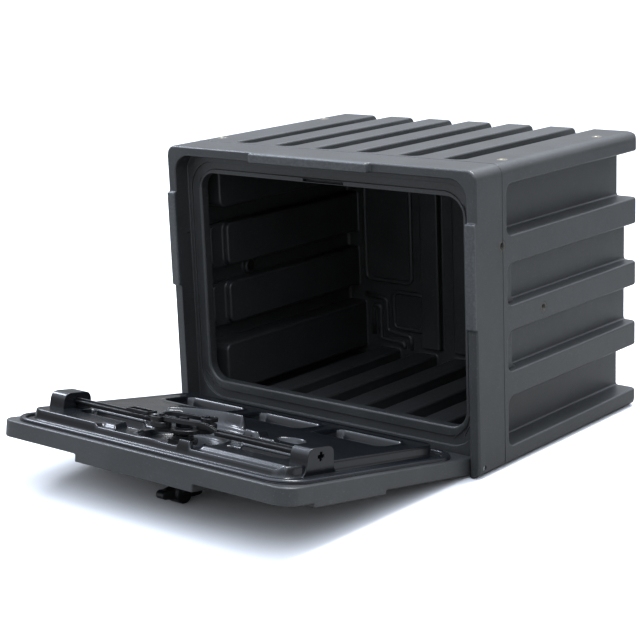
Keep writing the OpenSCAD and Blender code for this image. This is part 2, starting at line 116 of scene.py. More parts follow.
def moulded(name, dark, light, rough, grain, grain_scale, wave=0.0, speck=0.0, spec=0.5, scuff_and_highlight_from=None):
    """A moulded plastic: two close tones, fine grain, slow waves, light specks, and past a Y scuffs that
    also paint a highlight.

    grain and wave are the heights of the relief in metres, and grain_scale is in cells to the metre.
    """
    mat, tree, pri = material(name)
    co = add(tree, "ShaderNodeTexCoord").outputs["Object"]
    tone = noise(tree, co, 14.0, 4.0)
    fine = noise(tree, co, grain_scale, 2.0, 0.6)
    colour = mix(tree, remap(tree, tone.outputs[0], 0.3, 0.7, 0, 1), srgb(dark), srgb(light))
    if speck:
        spots = noise(tree, co, grain_scale * 0.45, 1.0)
        colour = mix(tree, remap(tree, spots.outputs[0], 0.66, 0.74, 0, speck), colour, srgb("#8d949a"))
    if scuff_and_highlight_from is not None:
        # Scuffs and painted highlight: faces proud of the given Y are lightened towards #6c7073 in noisy
        # marks
        y = add(tree, "ShaderNodeSeparateXYZ", {0: co}).outputs[1]
        proud = remap(tree, y, scuff_and_highlight_from, scuff_and_highlight_from - SCUFF_AND_HIGHLIGHT_FADE, 0, 1)
        marks = noise(tree, co, 260.0, 6.0, 0.7)
        scuff_and_highlight_amount = remap(tree, marks.outputs[0], 0.42, 0.74, 0.1, 0.5)
        scuff_and_highlight_mask = add(tree, "ShaderNodeMath", {0: proud, 1: scuff_and_highlight_amount}, operation="MULTIPLY").outputs[0]
        colour = mix(tree, scuff_and_highlight_mask, colour, srgb("#6c7073"))
    tree.links.new(colour, pri.inputs["Base Color"])
    rough_map = remap(tree, tone.outputs[0], 0.3, 0.7, rough * 0.9, rough * 1.1)
    tree.links.new(rough_map, pri.inputs["Roughness"])
    pri.inputs["Specular IOR Level"].default_value = spec
    bump = add(tree, "ShaderNodeBump", {"Height": fine.outputs[0], "Strength": 1.0, "Distance": grain})
    if wave:
        slow = noise(tree, co, 22.0, 1.0)
        swell = add(tree, "ShaderNodeBump", {"Height": slow.outputs[0], "Strength": 1.0, "Distance": wave})
        tree.links.new(swell.outputs[0], bump.inputs["Normal"])
    tree.links.new(bump.outputs[0], pri.inputs["Normal"])
    return mat


def metal(name, colour, rough, scale, stretch=(1, 1, 1)):
    """A bare or plated metal with fine marks."""
    mat, tree, pri = material(name)
    co = add(tree, "ShaderNodeTexCoord").outputs["Object"]
    vec = add(tree, "ShaderNodeVectorMath", {0: co, 1: stretch}, operation="MULTIPLY").outputs[0]
    marks = noise(tree, vec, scale, 3.0)
    pri.inputs["Base Color"].default_value = srgb(colour)
    pri.inputs["Metallic"].default_value = 1.0
    rough_map = remap(tree, marks.outputs[0], 0.3, 0.7, rough * 0.75, rough * 1.3)
    tree.links.new(rough_map, pri.inputs["Roughness"])
    bump = add(tree, "ShaderNodeBump", {"Height": marks.outputs[0], "Strength": 0.4, "Distance": 0.04 * MM})
    tree.links.new(bump.outputs[0], pri.inputs["Normal"])
    return mat


# Rotomoulded polyethylene, charcoal with a fine peel
SHELL_LOOK = ("#303131", "#373838", 0.36, 0.00018, 1300.0, 0.0008, 0.2, 0.55)
SHELL = moulded("polyethylene_charcoal_grained", *SHELL_LOOK)
# The same polyethylene, with scuffs and a painted highlight lightening the faces proud of the case front
SHELL_FRONT = moulded("polyethylene_charcoal_scuffed", *SHELL_LOOK, -0.2262)
# Vacuum-formed ABS, near black with a satin skin
LINER = moulded("abs_black_satin", "#0e1012", "#121417", 0.21, 0.00002, 700.0, 0.0004, 0.0, 0.5)
# Glass-filled nylon, black
NYLON = moulded("nylon_black_moulded", "#0e0f10", "#121314", 0.30, 0.00005, 1500.0)
# EPDM rubber, black extrusion
RUBBER = moulded("epdm_rubber_black", "#14161a", "#181a1e", 0.26, 0.00002, 1200.0)
# Zinc-plated steel
STEEL = metal("steel_zinc_plated", "#b9bdc4", 0.30, 400.0)
# Steel with a black oxide finish, for the latch hardware
BLACK_STEEL = metal("steel_black_oxide", "#2b2c2f", 0.34, 500.0)
# Nickel-plated brass
BRASS = metal("brass_nickel_plated", "#8b8679", 0.40, 700.0)
# The same brass in a darker tone for the side-wall inserts: painted shade
DARK_BRASS = metal("brass_tarnished", "#62605a", 0.30, 700.0)


# ---- Mesh helpers ----

def link(obj, body, mat, slot_name, *stands_for):
    """Puts a piece in the scene, on its body, in its material, in place of its CAD nodes."""
    if obj.name not in bpy.context.scene.collection.objects:
        bpy.context.scene.collection.objects.link(obj)
    obj.data.materials.clear()
    obj.data.materials.append(mat)
    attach(obj, body)
    if stands_for:
        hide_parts(*stands_for)
    return obj


def from_lists(name, verts, faces, matrix=None):
    """A smooth-shaded object from points and faces, with its faces turned outwards."""
    me = bpy.data.meshes.new(name)
    if matrix is not None:
        verts = [matrix @ Vector(v) for v in verts]
    me.from_pydata([tuple(v) for v in verts], [], faces)
    bm = bmesh.new()
    bm.from_mesh(me)
    bmesh.ops.recalc_face_normals(bm, faces=bm.faces)
    bm.to_mesh(me)
    bm.free()
    for p in me.polygons:
        p.use_smooth = True
    return bpy.data.objects.new(name, me)


def flatten_folds(me):
    """Splits again, by constrained triangulation, the flat faces that a bevel folded over themselves."""
    me.calc_loop_triangles()
    area = {}
    for t in me.loop_triangles:
        area[t.polygon_index] = area.get(t.polygon_index, 0) + t.area
    folded = [i for i, a in area.items()
              if me.polygons[i].loop_total > 4 and a > me.polygons[i].area * 1.001 + 1e-8]
    if not folded:
        return
    bm = bmesh.new()
    bm.from_mesh(me)
    bm.faces.ensure_lookup_table()
    for f in [bm.faces[i] for i in folded]:
        n = f.normal.copy()
        c = f.calc_center_median()
        x = n.orthogonal().normalized()
        y = n.cross(x)
        flat = [Vector(((v.co - c).dot(x), (v.co - c).dot(y))) for v in f.verts]
        old = list(f.verts)
        out = delaunay_2d_cdt(flat, [], [list(range(len(flat)))], 1, 1e-7)
        verts = []
        for p, ids in zip(out[0], out[3]):
            verts.append(old[ids[0]] if ids else bm.verts.new(c + x * p[0] + y * p[1]))
        bm.faces.remove(f)
        for tri in out[2]:
            corner = [verts[i] for i in tri]
            if len(set(corner)) == 3 and not bm.faces.get(corner):
                new = bm.faces.new(corner)
                new.normal_update()
                if new.normal.dot(n) < 0:
                    new.normal_flip()
                new.smooth = True
    bm.to_mesh(me)
    bm.free()


def rounded_copy(name, node, width, rule, segments=3, angle=28):
    """The CAD node's surface with its sharp edges rounded: rule(mid point) gives each width in mm."""
    me = frame["nodes"][node].data.copy()
    bm = bmesh.new()
    bm.from_mesh(me)
    bmesh.ops.remove_doubles(bm, verts=bm.verts, dist=2e-6)
    bmesh.ops.dissolve_limit(bm, angle_limit=math.radians(0.4), verts=bm.verts, edges=bm.edges)
    weights = bm.edges.layers.float.new("bevel_weight_edge")
    for e in bm.edges:
        if len(e.link_faces) == 2 and e.calc_face_angle(0) > math.radians(angle):
            e[weights] = min(1.0, rule((e.verts[0].co + e.verts[1].co) / 2) / width)
    bm.to_mesh(me)
    bm.free()
    raw = bpy.data.objects.new(name + "_raw", me)
    bpy.context.scene.collection.objects.link(raw)
    bev = raw.modifiers.new("round", "BEVEL")
    bev.limit_method = "WEIGHT"
    bev.width = width * MM
    bev.segments = segments
    bev.use_clamp_overlap = False
    bev.miter_outer = "MITER_ARC"
    bpy.context.view_layer.update()
    done = bpy.data.meshes.new_from_object(raw.evaluated_get(bpy.context.evaluated_depsgraph_get()))
    bpy.data.objects.remove(raw)
    flatten_folds(done)
    done.name = name
    for p in done.polygons:
        p.use_smooth = True
    obj = bpy.data.objects.new(name, done)
    bpy.context.scene.collection.objects.link(obj)
    normals = obj.modifiers.new("normals", "WEIGHTED_NORMAL")
    normals.weight = 80
    return obj


# ---- Case shell ----

FRONT_Y = -0.225
# Middles of the insert seats: X, then Y of each, on the top; Y and Z of each on the sides
TOP_INSERT_X, TOP_INSERT_Y = 274, (-120, 140)
SIDE_INSERTS = ((-161, 333), (-54, 222))
SEAT_REACH = 9
# Hinge pin: depth behind the front face, height and hole radius
PIN_DEPTH, PIN_Z, PIN_R = 13, 15, 4
# Widest rounding, on the outer corners
OUTER_EDGE = 4.0


def shell_rule(p):
    """Edge radius in mm by place on the case, with depth measured back from the front face."""
    depth = (p.y - FRONT_Y) / MM
    x, y, z = abs(p.x) / MM, p.y / MM, p.z / MM
    if z > 420 and any(math.hypot(x - TOP_INSERT_X, y - iy) < SEAT_REACH for iy in TOP_INSERT_Y):
        return 0.4
    if x > 280 and any(math.hypot(y - iy, z - iz) < SEAT_REACH for iy, iz in SIDE_INSERTS):
        return 0.4
    if depth < 30 and math.hypot(depth - PIN_DEPTH, z - PIN_Z) < PIN_R and x > 270:
        return 0.3
    in_slot = x < 42 and 404 < z < 412 and depth < 39
    if in_slot:
        return 0.5
    if 27 < depth < 33:
        # Edge of the opening: wide, but sharper near the top
        if x < 258 and 60 < z < 407:
            return 0.7 + 3.3 * min(1, max(0, (402 - z) / 26))
        on_bead = x < 279 and 31 < z < 426
        return 0.7 if on_bead else 1.5
    if depth < 2:
        corner = math.hypot(max(x - 284, 0), max(z - 434, 0))
        return OUTER_EDGE if (x > 297.5 or corner > 14.5) else 2.6
    if depth < 26:
        return 1.8
    if depth < 48:
        return 2.4
    return 3.6


case = rounded_copy("case_moulding", "case_shell", OUTER_EDGE, shell_rule, 4)
link(case, "case", SHELL_FRONT, "shell", "case_shell")


DOOR_EDGE = 2.6


def door_rule(p):
    """Edge radius in mm by place on the door: sharp at the hinge and latch holes, softer elsewhere."""
    u, v, w = DOOR.inverted() @ p
    if math.hypot(v, w) < 6 and abs(u) > 240:
        return 0.3
    if math.hypot(u, v - LATCH_V) < 18:
        return 0.4
    return 2.2 if w < -12 else DOOR_EDGE


door = rounded_copy("door_moulding", "door_shell", DOOR_EDGE, door_rule)
link(door, "door", SHELL, "shell", "door_shell")

# ---- Small hardware: CAD surfaces with broken edges ----

def even(width):
    """An edge rule with one width everywhere."""
    return lambda p: width


HARDWARE = [
    # piece, CAD node, body, material, record slot, edge radius
    ("hinge_bushing_left", "hinge_bush_left", "door", NYLON, "latch_black", 0.5),
    ("hinge_bushing_right", "hinge_bush_right", "door", NYLON, "latch_black", 0.5),
    ("hinge_pivot_left", "hinge_pin_left", "case", STEEL, "steel", 0.5),
    ("hinge_pivot_right", "hinge_pin_right", "case", STEEL, "steel", 0.5),
    ("latch_barrel", "latch_housing", "door", NYLON, "latch_black", 0.8),
    ("barrel_seal", "housing_seal", "door", RUBBER, "seal", 0.3),
    ("barrel_nut", "housing_nut", "door", NYLON, "latch_black", 0.8),
    ("o_ring", "spindle_o_ring", "door", RUBBER, "seal", 0.5),
    ("grip_spindle", "handle_spindle", "handle", BLACK_STEEL, "steel", 0.6),
    ("grip_cross_pin", "handle_cross_pin", "handle", BLACK_STEEL, "steel", 0.5),
    ("crank_rotor", "latch_rotor", "handle", NYLON, "latch_black", 1.2),
    ("spindle_washer", "rotor_washer", "handle", BLACK_STEEL, "steel", 0.3),
    ("spindle_nut", "rotor_nut", "handle", BLACK_STEEL, "steel", 0.8),
    ("crank_studs", "crank_pins", "handle", BLACK_STEEL, "steel", 0.7),
    ("crank_sleeves", "crank_rollers", "handle", NYLON, "latch_black", 1.6),
    ("retaining_clips", "crank_pin_clips", "handle", BLACK_STEEL, "steel", 0.3),
]
for piece, node, body, mat, slot_name, radius in HARDWARE:
    link(rounded_copy(piece, node, radius, even(radius)), body, mat, slot_name, node)


# ---- Door liner: one moulded sheet with drawn pockets ----

def ease(x):
    """A smooth rise from 0 to 1."""
    x = np.clip(x, 0, 1)
    return x * x * x * (x * (6 * x - 15) + 10)


def slab_sd(u, v, cu, cv, hu, hv, r):
    """Signed distance to a rectangle with round corners, negative inside."""
    qu, qv = np.abs(u - cu) - hu + r, np.abs(v - cv) - hv + r
    return np.hypot(np.maximum(qu, 0), np.maximum(qv, 0)) + np.minimum(np.maximum(qu, qv), 0) - r


def step_to(h, sd, level, run):
    """Height moved to a level inside an outline, over a sloped wall of that run."""
    return h + (level - h) * ease(-sd / run)


def raise_over(h, sd, level, run):
    """As step_to, but never lower than what is there."""
    return np.maximum(h, step_to(h, sd, level, run))


def dome_over(h, sd, level, run):
    """Height raised inside an outline with a rounded shoulder of that width."""
    t = np.clip(-sd / run, 0, 1)
    return np.maximum(h, h + (level - h) * np.sin(np.pi / 2 * t))


# Heights on the door, and the height of the sheet where it lies on the shell
SHELL_FACE, FLANGE_TOP, PAN_TOP = 12.5, 15.5, 30.0
SHEET_LOW = 12.2
SHEET_UNDER = 11.6
# Outlines: middle u and v, half width, half length, corner radius
FLANGE = (0, 215.75, 260, 181.75, 30)
PAN = (0, 219, 250.5, 170, 24)
HALF_STEP = 0.75


def spaced(lo, hi, *fine):
    """Grid lines a step apart, and half a step apart in the fine stretches."""
    lines = np.arange(lo, hi, HALF_STEP)
    keep = np.arange(len(lines)) % 2 == 0
    for a, b in fine:
        keep |= (lines > a) & (lines < b)
    return lines[keep]


us = spaced(-262.5, 262.6, (-252, -245), (245, 252))
vs = spaced(31.5, 400.6, (47, 53), (380, 391))
U, V = np.meshgrid(us, vs)
H = np.full(U.shape, SHEET_LOW)
flange_sd = slab_sd(U, V, *FLANGE)
H = step_to(H, flange_sd, FLANGE_TOP, 2.4)
H += 0.7 * np.exp(-((flange_sd + 8) / 2.2) ** 2)
pan_sd = slab_sd(U, V, *PAN)
H = step_to(H, pan_sd, PAN_TOP, 3.6)
rim = np.exp(-((pan_sd + 4.6) / 2.6) ** 2)
H += 1.0 * rim
# Front wall of the pan: lower before the latch, with one raised tab
front = ease((V - 366) / 8) * ease(-pan_sd / 3.6)
H -= 5.0 * front * ease((U + 112) / 10) * ease((244 - U) / 16)
tab_sd = slab_sd(U, V, 66, 381, 13, 7, 4)
H = raise_over(H, tab_sd, 36, 4)
# Basin round the latch and the troughs under the rods
RADIUS = np.hypot(U, V - LATCH_V)
H = step_to(H, np.maximum(RADIUS - 101, pan_sd + 9), 23, 7)
for side in (-1, 1):
    H = step_to(H, slab_sd(U, V, side * 138, LATCH_V, 66, 19, 9), 14, 6)
H = step_to(H, RADIUS - 63, 15, 6)
H += 1.6 * np.exp(-((RADIUS - 66) / 2.2) ** 2) * (np.abs(V - LATCH_V) > 17)
H = step_to(H, RADIUS - 34, 16.5, 2.5)
# Raised crescent behind the latch
ANGLE = np.degrees(np.arctan2(V - LATCH_V, U))
ring = np.abs(RADIUS - 110) - 8
ends = np.maximum(-150 - ANGLE, ANGLE + 80) * np.radians(1) * RADIUS
crescent_sd = np.hypot(np.maximum(ring + 6, 0), np.maximum(ends + 6, 0)) - 6
crescent_sd = np.where((ring < -6) & (ends < -6), np.maximum(ring, ends), crescent_sd)
H = dome_over(H, crescent_sd, 49, 10)
# Stepped bosses on both sides of the latch
for side in (-1, 1):
    H = dome_over(H, slab_sd(U, V, side * 81, 257, 18, 16, 8), 42, 8)
    H = dome_over(H, slab_sd(U, V, side * 112, 262, 16, 11, 7), 36, 6)
# Shallow round tray beside the crescent
H = step_to(H, np.maximum(np.hypot(U - 116, V - 226) - 27, V - 238), 21, 6)
# Storage pockets with a raised edge
for side in (-1, 0, 1):
    sd = slab_sd(U, V, side * 154, 113, 62, 31, 13)
    H += 1.3 * np.exp(-((sd - 3) / 2.5) ** 2)
    H = step_to(H, sd, 13.0, 6)
H = np.maximum(H, SHEET_LOW)

rows, cols = U.shape
top = np.column_stack([U.ravel(), V.ravel(), H.ravel()])
base = top.copy()
base[:, 2] = SHEET_UNDER
edge = ([(0, c) for c in range(cols)] + [(r, cols - 1) for r in range(1, rows)]
        + [(rows - 1, c) for c in range(cols - 2, -1, -1)] + [(r, 0) for r in range(rows - 2, 0, -1)])
edge_ids = [r * cols + c for r, c in edge]
count = rows * cols
verts = [tuple(p) for p in top] + [tuple(base[i]) for i in edge_ids]
faces = [(r * cols + c, r * cols + c + 1, (r + 1) * cols + c + 1, (r + 1) * cols + c)
         for r in range(rows - 1) for c in range(cols - 1)]
ring_n = len(edge_ids)
faces += [(edge_ids[i], edge_ids[(i + 1) % ring_n], count + (i + 1) % ring_n, count + i)
          for i in range(ring_n)]
faces.append(tuple(count + i for i in range(ring_n)))
liner = from_lists("liner_moulding", verts, faces, DOOR)
link(liner, "door", LINER, "liner", "door_liner")


# ---- Swept pieces ----

def sweep(path, profile, closed=False):
    """(verts, faces) of a profile of (side, up) pairs carried along points with up vector +w."""
    n, m = len(path), len(profile)
    verts, faces = [], []
    for i, p in enumerate(path):
        p = Vector(p)
        a = Vector(path[(i - 1) % n]) if closed or i else p
        b = Vector(path[(i + 1) % n]) if closed or i < n - 1 else p
        t = (b - a).normalized()
        side = t.cross(Vector((0, 0, 1))).normalized()
        lift = side.cross(t).normalized()
        ta = (p - a).normalized() if (p - a).length > 1e-9 else t
        tb = (b - p).normalized() if (b - p).length > 1e-9 else t
        stretch = 1 / max(0.5, math.cos(ta.angle(tb) / 2)) if ta.length and tb.length else 1
        bend_up = abs((tb - ta).dot(lift)) > abs((tb - ta).dot(side))
        k_side, k_up = (1, stretch) if bend_up else (stretch, 1)
        for across, upward in profile:
            verts.append(p + side * across * k_side + lift * upward * k_up)
    spans = n if closed else n - 1
    for i in range(spans):
        for j in range(m):
            a, b = i * m + j, i * m + (j + 1) % m
            c, d = ((i + 1) % n) * m + (j + 1) % m, ((i + 1) % n) * m + j
            faces.append((a, b, c, d))
    if not closed:
        faces.append(tuple(range(m)))
        faces.append(tuple(reversed(range((n - 1) * m, n * m))))
    return verts, faces


def rounded_loop(cu, cv, hu, hv, r, w, steps=16):
    """Points round a rectangle with round corners at height w."""
    pts = []
    for k, (su, sv) in enumerate(((1, 1), (-1, 1), (-1, -1), (1, -1))):
        for i in range(steps + 1):
            a = math.radians(90 * k + 90 * i / steps)
            pts.append((cu + su * (hu - r) + r * math.cos(a), cv + sv * (hv - r) + r * math.sin(a), w))
    return pts


# Door seal: a soft bulb on a flat foot
bulb = [(4.3 * math.cos(math.radians(a)), 2.6 + 3.4 * math.sin(math.radians(a)))
        for a in range(-20, 201, 11)]
seal_profile = [(4.5, 0.0), (4.5, 0.9)] + bulb + [(-4.5, 0.9), (-4.5, 0.0)]
SEAL = (0, 214, 269, 189, 40)
seal_loop = rounded_loop(*SEAL, SHELL_FACE)
seal = from_lists("door_seal", *sweep(seal_loop, seal_profile, closed=True), DOOR)
link(seal, "door", RUBBER, "seal", "door_gasket")


def finish_mesh(obj, *modifiers):
    """The object's mesh with these (kind, settings) modifiers applied in turn."""
    if obj.name not in bpy.context.scene.collection.objects:
        bpy.context.scene.collection.objects.link(obj)
    for kind, settings in modifiers:
        m = obj.modifiers.new(kind.lower(), kind)
        for k, v in settings.items():
            setattr(m, k, v)
    bpy.context.view_layer.update()
    me = bpy.data.meshes.new_from_object(obj.evaluated_get(bpy.context.evaluated_depsgraph_get()))
    me.name = obj.name
    obj.modifiers.clear()
    obj.data = me
    for p in me.polygons:
        p.use_smooth = True
    return obj


def prism(outline, a, b, order):
    """(verts, faces) of a 2D outline carried from a to b; order places (p, q, t) in door coordinates."""
    n = len(outline)
    verts = [order(p, q, t) for t in (a, b) for p, q in outline]
    faces = [tuple(range(n)), tuple(reversed(range(n, 2 * n)))]
    faces += [(i, (i + 1) % n, n + (i + 1) % n, n + i) for i in range(n)]
    return verts, faces


def merged(*parts):
    """Several (verts, faces) as one."""
    verts, faces = [], []
    for part_verts, part_faces in parts:
        off = len(verts)
        verts += list(part_verts)
        faces += [tuple(i + off for i in f) for f in part_faces]
    return verts, faces


def disc(r, n=40):
    """Outline of a circle."""
    return [(r * math.cos(2 * math.pi * i / n), r * math.sin(2 * math.pi * i / n)) for i in range(n)]


def stadium(r, y0, y1, n=14):
    """Outline round two circles of radius r at y0 and y1."""
    pts = [(r * math.cos(math.pi * i / n), y1 + r * math.sin(math.pi * i / n)) for i in range(n + 1)]
    return pts + [(r * math.cos(math.pi + math.pi * i / n), y0 + r * math.sin(math.pi + math.pi * i / n))
                  for i in range(n + 1)]


# ---- T-handle: barrel, round nose and two wings, blended ----

HANDLE_W = -56
barrel = prism(disc(13.6), -20.5, HANDLE_W, lambda p, q, t: (p, LATCH_V + q, t))
nose = prism(disc(14.9), -11.5, 11.5, lambda p, q, t: (t, LATCH_V + p, HANDLE_W + q))
wing_outline = [(-34, -6.4), (-38, -5), (-40.4, -2), (-40.4, 2), (-38, 5), (-34, 6.4),
                (-27, 6.2), (-13, 9.5), (13, 9.5), (27, 6.2), (34, 6.4), (38, 5),
                (40.4, 2), (40.4, -2), (38, -5), (34, -6.4), (13, -8), (-13, -8)]
wing = prism(wing_outline, -7.4, 7.4, lambda p, q, t: (t, LATCH_V + p, HANDLE_W + q))
grip = from_lists("t_grip", *merged(barrel, nose, wing))
finish_mesh(grip, ("REMESH", {"mode": "VOXEL", "voxel_size": 0.9}),
            ("SMOOTH", {"factor": 0.5, "iterations": 8}))
grip.data.transform(DOOR)
grip.data.flip_normals()
link(grip, "handle", NYLON, "latch_black", "t_handle")


# ---- Rod guides: arched blocks with a plus-shaped hole ----

arch = [(38, 14.5), (34, 17), (30.5, 21.5), (28.6, 28), (27.6, 36),
        (27, 43), (25.2, 48), (21, 51.8), (14.5, 53)]
arch += [(-p, q) for p, q in reversed(arch)]
plus = [(6.1, 2.2), (2.2, 2.2), (2.2, 6.1), (-2.2, 6.1), (-2.2, 2.2), (-6.1, 2.2),
        (-6.1, -2.2), (-2.2, -2.2), (-2.2, -6.1), (2.2, -6.1), (2.2, -2.2), (6.1, -2.2)]
ROD_W = 40
for side, name in ((-1, "left"), (1, "right")):
    block = from_lists("rod_guide_" + name,
                       *prism(arch, 221, 252, lambda p, q, t: (side * t, LATCH_V + p, q)))
    cutter = from_lists("cutter",
                        *prism(plus, 214, 258, lambda p, q, t: (side * t, LATCH_V + p, ROD_W + q)))
    bpy.context.scene.collection.objects.link(cutter)
    finish_mesh(block, ("BOOLEAN", {"operation": "DIFFERENCE", "object": cutter, "solver": "EXACT"}),
                ("BEVEL", {"width": 3.2, "segments": 5, "limit_method": "ANGLE",
                           "angle_limit": math.radians(60), "use_clamp_overlap": True}))
    bpy.data.objects.remove(cutter)
    block.data.transform(DOOR)
    block.data.flip_normals()
    block.modifiers.new("normals", "WEIGHTED_NORMAL")
    link(block, "door", LINER, "liner")


# ---- Latch rods: plus-shaped bars, bent ribbed arms and slotted eyes ----

CRANK = 32 * math.sin(math.radians(45))
bar_profile = [(5.2, 1.5), (1.5, 1.5), (1.5, 5.2), (-1.5, 5.2), (-1.5, 1.5), (-5.2, 1.5),
               (-5.2, -1.5), (-1.5, -1.5), (-1.5, -5.2), (1.5, -5.2), (1.5, -1.5), (5.2, -1.5)]
arm_profile = [(-4.6, -3.0), (-2.9, -3.0), (-2.9, -0.8), (2.9, -0.8), (2.9, -3.0), (4.6, -3.0),
               (4.6, 3.0), (2.9, 3.0), (2.9, 0.8), (-2.9, 0.8), (-2.9, 3.0), (-4.6, 3.0)]


def curve_points(points, per=6):
    """A smooth run of points through these corners."""
    p = [Vector(q) for q in points]
    p = [2 * p[0] - p[1]] + p + [2 * p[-1] - p[-2]]
    out = []
    for i in range(1, len(p) - 2):
        for k in range(per):
            t = k / per
            out.append(0.5 * ((2 * p[i]) + (p[i + 1] - p[i - 1]) * t
                              + (2 * p[i - 1] - 5 * p[i] + 4 * p[i + 1] - p[i + 2]) * t * t
                              + (3 * p[i] - p[i - 1] - 3 * p[i + 1] + p[i + 2]) * t ** 3))
    out.append(p[-2])
    return out


def rod_mesh(side):
    """The rod for one side; the left one is the right one turned half a turn about the latch axis."""
    bar = sweep([(232, 0, ROD_W), (150, 0, ROD_W), (70, 0, ROD_W), (60, 0, ROD_W)], bar_profile)
    path = curve_points([(66, 0, ROD_W + 1), (60, 1, ROD_W + 2), (50, 7, 47), (43, 12, 49.4), (34, 17, 49.6),
                         (18, 21.5, 49.6), (0, CRANK + 1, 49.6), (-14, CRANK + 2.5, 49.6)])
    arm = sweep(path, arm_profile)
    outer, inner = stadium(9.2, CRANK, 32), stadium(5.3, CRANK, 32)
    n = len(outer)
    verts = [(-CRANK + p, q, w) for w in (46.4, 52.2) for loop in (outer, inner) for p, q in loop]
    faces = []
    for i in range(n):
        j = (i + 1) % n
        faces += [(i, j, n + j, n + i), (2 * n + i, 3 * n + i, 3 * n + j, 2 * n + j),
                  (i, 2 * n + i, 2 * n + j, j), (n + i, n + j, 3 * n + j, 3 * n + i)]
    verts, faces = merged(bar, arm, (verts, faces))
    verts = [(side * p, LATCH_V + side * q, w) for p, q, w in (tuple(x) for x in verts)]
    return verts, faces


right_rod = from_lists("right_rod", *rod_mesh(1), DOOR)
# Lattice plate on the left rod: four open frames side by side
frames = []
for k in range(4):
    u0 = -70 - 10.5 * k
    outer = [(u0 + 6, -10), (u0 + 6, 10), (u0 - 6, 10), (u0 - 6, -10)]
    inner = [(u0 + 4.4, -7.6), (u0 + 4.4, 7.6), (u0 - 4.4, 7.6), (u0 - 4.4, -7.6)]
    frame_verts = [(p, LATCH_V + q, w) for w in (45.6, 49.4) for loop in (outer, inner) for p, q in loop]
    frame_faces = []
    for i in range(4):
        j = (i + 1) % 4
        frame_faces += [(i, j, 4 + j, 4 + i), (8 + i, 12 + i, 12 + j, 8 + j),
                        (i, 8 + i, 8 + j, j), (4 + i, 4 + j, 12 + j, 12 + i)]
    frames.append((frame_verts, frame_faces))
left_rod = from_lists("left_rod", *merged(rod_mesh(-1), *frames), DOOR)
for rod, body, node in ((right_rod, "right_rod", "right_latch_rod"),
                        (left_rod, "left_rod", "left_latch_rod")):
    finish_mesh(rod, ("BEVEL", {"width": 0.5 * MM, "segments": 2, "limit_method": "ANGLE",
                                "angle_limit": math.radians(50), "use_clamp_overlap": True}))
    rod.modifiers.new("normals", "WEIGHTED_NORMAL")
    link(rod, body, NYLON, "latch_black", node)


# ---- Repeated fasteners: one template placed at many points by Geometry Nodes ----

def place_tree(template, mat):
    """A node tree that puts the template at every point, turned by the input angles."""
    tree = bpy.data.node_groups.new("place_" + template.name, "GeometryNodeTree")
    tree.interface.new_socket("Points", in_out="INPUT", socket_type="NodeSocketGeometry")
    turn = tree.interface.new_socket("Turn", in_out="INPUT", socket_type="NodeSocketRotation")
    tree.interface.new_socket("Pieces", in_out="OUTPUT", socket_type="NodeSocketGeometry")
    gin = add(tree, "NodeGroupInput")
    gout = add(tree, "NodeGroupOutput")
    info = add(tree, "GeometryNodeObjectInfo", {"Object": template})
    inst = add(tree, "GeometryNodeInstanceOnPoints",
               {"Points": gin.outputs["Points"], "Instance": info.outputs["Geometry"],
                "Rotation": gin.outputs["Turn"]})
    real = add(tree, "GeometryNodeRealizeInstances", {"Geometry": inst.outputs[0]})
    paint = add(tree, "GeometryNodeSetMaterial", {"Geometry": real.outputs[0], "Material": mat})
    tree.links.new(paint.outputs[0], gout.inputs[0])
    return tree, turn.identifier


def placed(name, template, points, turn, body, mat, slot_name, *stands_for):
    """One piece made of the template at these points, turned by these angles."""
    me = bpy.data.meshes.new(name)
    me.from_pydata([tuple(p) for p in points], [], [])
    obj = bpy.data.objects.new(name, me)
    bpy.context.scene.collection.objects.link(obj)
    tree, key = place_tree(template, mat)
    mod = obj.modifiers.new("place", "NODES")
    mod.node_group = tree
    mod[key] = turn
    bpy.context.view_layer.update()
    done = bpy.data.meshes.new_from_object(obj.evaluated_get(bpy.context.evaluated_depsgraph_get()))
    done.name = name
    obj.modifiers.clear()
    obj.data = done
    for p in done.polygons:
        p.use_smooth = True
    obj.modifiers.new("normals", "WEIGHTED_NORMAL")
    return link(obj, body, mat, slot_name, *stands_for)


def lathe(name, profile, segments=40, helix=None):
    """A closed turned piece about Z from (radius, z) pairs in mm; helix(radius, z, turn) moves a radius."""
    verts = []
    for r, z in profile:
        for i in range(segments):
            a = 2 * math.pi * i / segments
            rr = r + (helix(r, z, i / segments) if helix else 0)
            verts.append((rr * math.cos(a) * MM, rr * math.sin(a) * MM, z * MM))
    m = len(profile)
    faces = [(i * segments + j, i * segments + (j + 1) % segments,
              ((i + 1) % m) * segments + (j + 1) % segments, ((i + 1) % m) * segments + j)
             for i in range(m - 1) for j in range(segments)]
    faces.append(tuple(range(segments)))
    faces.append(tuple(reversed(range((m - 1) * segments, m * segments))))
    return from_lists(name, verts, faces)


# Inserts: floor under the bore, and the M10 thread's middle radius, half height and pitch
INSERT_FLOOR = 3
THREAD_R, THREAD_H, THREAD_PITCH = 4.6, 0.32, 1.5


def insert_template(name, length, outer):
    """A threaded insert whose mouth is at z = 0, with a chamfered rim."""
    depth = length - INSERT_FLOOR
    profile = [(outer, -length), (outer, -0.5), (outer - 0.5, 0.0), (5.5, 0.0), (4.9, -0.7)]
    z = -0.9
    while z > -depth + 0.2:
        profile.append((THREAD_R, z))
        z -= 0.3
    profile.append((4.3, -depth))

    def thread(r, z, turn):
        return THREAD_H * math.cos(2 * math.pi * (z / THREAD_PITCH - turn)) if r == THREAD_R else 0

    return lathe(name, profile, 40, thread)


